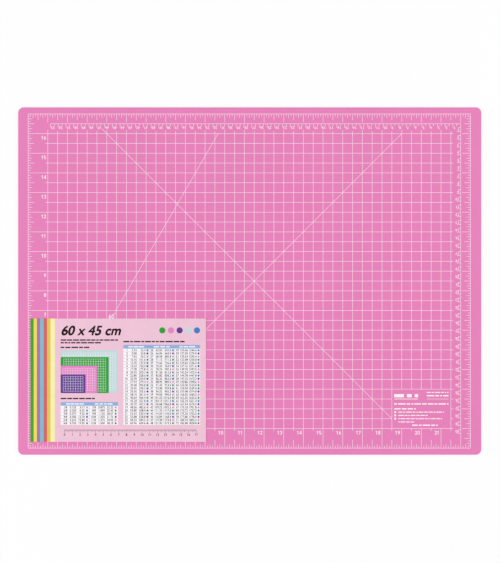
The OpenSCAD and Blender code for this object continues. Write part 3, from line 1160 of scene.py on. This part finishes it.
@dataclass
class InsertCard:
    """The loose card on the mat: a conversion card of inches, centimetres and millimetres."""

    left: float = 39 * MM
    right: float = 219 * MM
    table_foot: float = 22 * MM
    eighths_w: float = 74 * MM
    eighths: Groups = Groups(count=2, lines=6, ends=(8.5 * MM, 20 * MM, 31 * MM), dot=34 * MM)
    inches_left: float = 120 * MM
    inches: Groups = Groups(count=3, lines=24, ends=(5.6 * MM, 17.2 * MM, 28.6 * MM), dot=31 * MM)
    nest_foot: float = 63 * MM
    ruler_foot: float = 7 * MM
    ruler_depth: float = 9 * MM
    caption_h: float = 1.7 * MM
    left_captions: Sequence[tuple[float, float]] = (
        (130.65 * MM, 74 * MM),
        (127.15 * MM, 52 * MM),
        (121.15 * MM, 37 * MM),
        (55.15 * MM, 44 * MM),
    )
    right_captions: Sequence[tuple[float, float]] = ((128.65 * MM, 79 * MM),)

    @staticmethod
    def eighths_line(count: int) -> Sequence[str]:
        """Returns a number of eighths of an inch as a fraction, in inches and in millimetres."""
        part = count / EIGHTHS
        return f"{count}/{EIGHTHS}", f"{part:.3f}", f"{part * INCH / MM:.2f}"

    @staticmethod
    def inches_line(count: int) -> Sequence[str]:
        """Returns a number of inches, in centimetres and in millimetres too."""
        return f"{count}", f"{count * INCH / CM:.2f}", f"{count * INCH / MM:.1f}"

    def table(
        self, sheet: CardSheet, name: str, span: Range, groups: Groups, line: Callable[[int], Sequence[str]]
    ) -> ConversionTable:
        """Sets out a table.

        Args:
            sheet: The card.
            name: What the names of the table's pieces start with.
            span: Its left and right sides, from the card's left edge.
            groups: Its groups.
            line: Gives the figures of a line from the line's number.

        Returns:
            The table.
        """
        left, right = span
        step = (right - left) / groups.count
        columns, dots = [], []
        for i in range(groups.count):
            lines = [line(i * groups.lines + n + 1) for n in range(groups.lines)]
            columns += [Column(i * step + end, figures) for end, figures in zip(groups.ends, zip(*lines))]
            dots.append(i * step + groups.dot)
        return ConversionTable(sheet, name, left, self.table_foot, right - left, columns, dots)

    def build(self) -> None:
        """Makes the paper and prints it."""
        sheet = CardSheet()
        sheet.build()
        StripeBand(sheet).build()
        Heading(sheet, self.left, self.right).build()
        MatNest(sheet, self.left, self.nest_foot).build()
        span = self.left, self.left + self.eighths_w
        self.table(sheet, "card_eighths", span, self.eighths, self.eighths_line).build()
        span = self.inches_left, self.right
        self.table(sheet, "card_inches", span, self.inches, self.inches_line).build()
        columns = (self.left, self.left_captions), (self.inches_left, self.right_captions)
        captions = [Area(x, foot, width, self.caption_h) for x, lines in columns for foot, width in lines]
        Captions(sheet, captions).build()
        EdgeRuler(sheet, Area(self.left, self.ruler_foot, self.right - self.left, self.ruler_depth)).build()


@dataclass
class Studio:
    """The white floor, soft light and camera."""

    face_z: float
    picture: tuple[int, int] = (500, 563)
    pixel: float = 1.2919 * MM
    mat_middle: tuple[float, float] = (249.70, 281.04)
    lens: float = 85.0
    sensor: float = 36.0
    floor_half: float = 6.0
    floor_drop: float = 0.05 * MM
    floor_glow: float = 0.7
    floor_fade: Range = (0.6, 1.8)
    sky: float = 0.55
    white: Colour = (1.0, 1.0, 1.0, 1.0)
    lamp_power: float = 25.2
    lamp_side: float = 1.6
    lamps: Sequence[Vector] = (Vector((-1.9, -0.5, 1.9)), Vector((1.9, 0.5, 1.9)))

    @staticmethod
    def seen(graph: Graph) -> Wire:
        """Tells what is seen from what only lights the object.

        Args:
            graph: The graph that it is used in.

        Returns:
            1 for rays of the camera, of reflections and through glass, and 0 for others.
        """
        path = graph.add("ShaderNodeLightPath", output="Is Camera Ray")
        rays = path
        for kind in ("Is Glossy Ray", "Is Transmission Ray"):
            rays = graph.add("ShaderNodeMath", {"operation": "MAXIMUM"}, {0: rays, 1: path.out(kind)})
        return rays

    def build_camera(self) -> None:
        """Sets the camera straight above the mat, at the photograph's scale."""
        data = bpy.data.cameras.new("camera")
        data.lens = self.lens
        data.sensor_width = self.sensor
        camera = add_object("camera", data)
        width, height = self.picture
        column, row = self.mat_middle
        distance = height * self.pixel * self.lens / self.sensor
        side, up = (width / 2 - column) * self.pixel, (row - height / 2) * self.pixel
        camera.location = (side, up, self.face_z + distance)
        bpy.context.scene.camera = camera

    def build_lamps(self) -> None:
        """Hangs a large soft lamp on each side, out of the mat's mirror view."""
        for i, place in enumerate(self.lamps):
            data = bpy.data.lights.new(f"lamp_{i}", "AREA")
            data.energy = self.lamp_power
            data.size = self.lamp_side
            lamp = add_object(f"lamp_{i}", data)
            lamp.location = place
            lamp.rotation_euler = (-place).to_track_quat("-Z", "Y").to_euler()

    def build_floor(self) -> None:
        """Lays the white floor, which keeps the object's shadow and fades to plain white around it."""
        side = self.floor_half
        mesh = bpy.data.meshes.new("floor")
        corners = [(-side, -side), (side, -side), (side, side), (-side, side)]
        mesh.from_pydata([(x, y, -self.floor_drop) for x, y in corners], [], [(0, 1, 2, 3)])
        graph = SurfaceGraph("floor_white")
        matt = graph.add("ShaderNodeBsdfDiffuse", sockets={"Color": self.white})
        glow = graph.add("ShaderNodeEmission", sockets={"Color": self.white, "Strength": 1.0})
        radius = graph.add("ShaderNodeVectorMath", {"operation": "LENGTH"}, {0: graph.place()}, "Value")
        far = graph.mask(radius, self.floor_fade)
        share = self.seen(graph) * (self.floor_glow + far * (1 - self.floor_glow))
        mixed = graph.add("ShaderNodeMixShader", sockets={"Fac": share, 1: matt, 2: glow})
        graph.add("ShaderNodeOutputMaterial", sockets={"Surface": mixed})
        mesh.materials.append(graph.material)
        add_object("floor", mesh)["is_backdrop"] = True

    def build_sky(self) -> None:
        """Sets the soft light from all round, with white behind the object."""
        world = bpy.data.worlds.new("sky")
        world.use_nodes = True
        graph = Graph(world.node_tree)
        graph.tree.nodes.clear()
        strength = self.sky + self.seen(graph) * (1 - self.sky)
        light = graph.add("ShaderNodeBackground", sockets={"Color": self.white, "Strength": strength})
        graph.add("ShaderNodeOutputWorld", sockets={"Surface": light})
        bpy.context.scene.world = world

    def build(self) -> None:
        """Sets up the whole studio."""
        bpy.context.scene.view_settings.view_transform = "Standard"
        self.build_camera()
        self.build_lamps()
        self.build_floor()
        self.build_sky()


def write_sizes() -> None:
    """Works out the solids' box and the dressed object's box; nothing is written."""
    boxes = {"cad": CAD_BOX, "visual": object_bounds()}
    {name: [list(corner) for corner in box] for name, box in boxes.items()}


def main() -> None:
    """Builds the studio and the object, piece by piece."""
    logging.basicConfig(level=logging.INFO, format="%(message)s")
    Studio(face_z=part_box("face_skin")[1].z).build()
    Laminate().dress()
    FACE_PRINT.dress()
    REVERSE_PRINT.dress()
    InsertCard().build()
    write_sizes()


if __name__ == "__main__":
    main()
